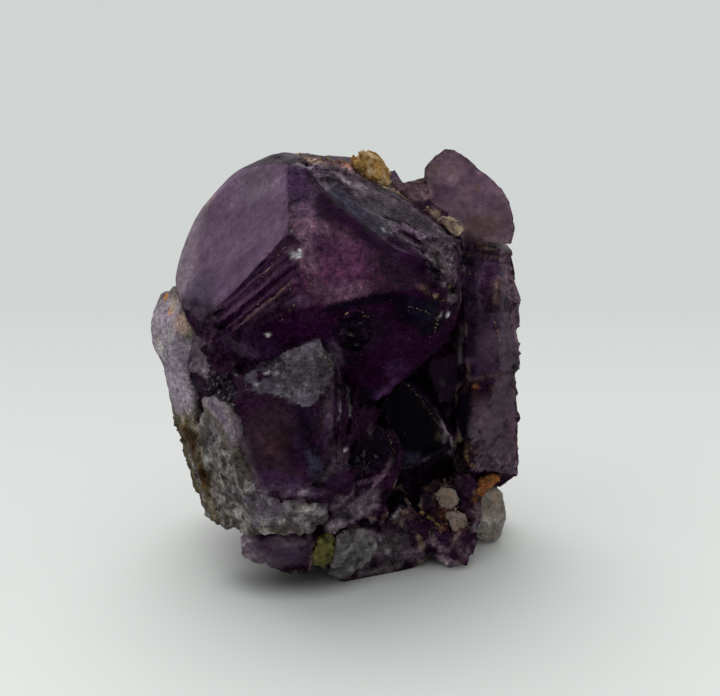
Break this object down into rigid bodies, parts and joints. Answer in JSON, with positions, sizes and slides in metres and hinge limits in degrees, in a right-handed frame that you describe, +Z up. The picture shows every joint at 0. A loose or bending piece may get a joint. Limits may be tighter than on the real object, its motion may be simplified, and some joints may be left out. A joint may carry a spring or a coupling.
{
  "type": "fluorite crystal cluster",
  "caption": "Hand-sized cluster of intergrown dark purple fluorite cubes with a pale quartz crust and small mineral grains, standing on its flat broken base.",
  "frame": {"origin": "on the flat base, under the middle of the cluster's box", "axes": "+Z up, front towards -Y, pale quartz flank towards -X"},
  "size_m": [0.0662, 0.049, 0.0726],
  "materials": {
    "fluorite": "dark purple see-through crystal, frosted and stepped faces",
    "quartz": "milky, sugary crust, stained in places",
    "calcite": "pale pink to grey, broken faces",
    "green_mineral": "olive green, earthy",
    "ironstone": "ochre brown, rough and earthy",
    "limonite": "rusty orange, powdery"
  },
  "bodies": {
    "root": {"fluorite_cluster": "fluorite", "quartz_crust": "quartz", "calcite_foot": "calcite", "green_grain": "green_mineral", "ironstone_lump": "ironstone", "rim_bead": "calcite", "calcite_grain_upper": "calcite", "calcite_grain_lower": "calcite", "quartz_bleb": "quartz", "limonite_patch": "limonite"}
  },
  "joints": []
}
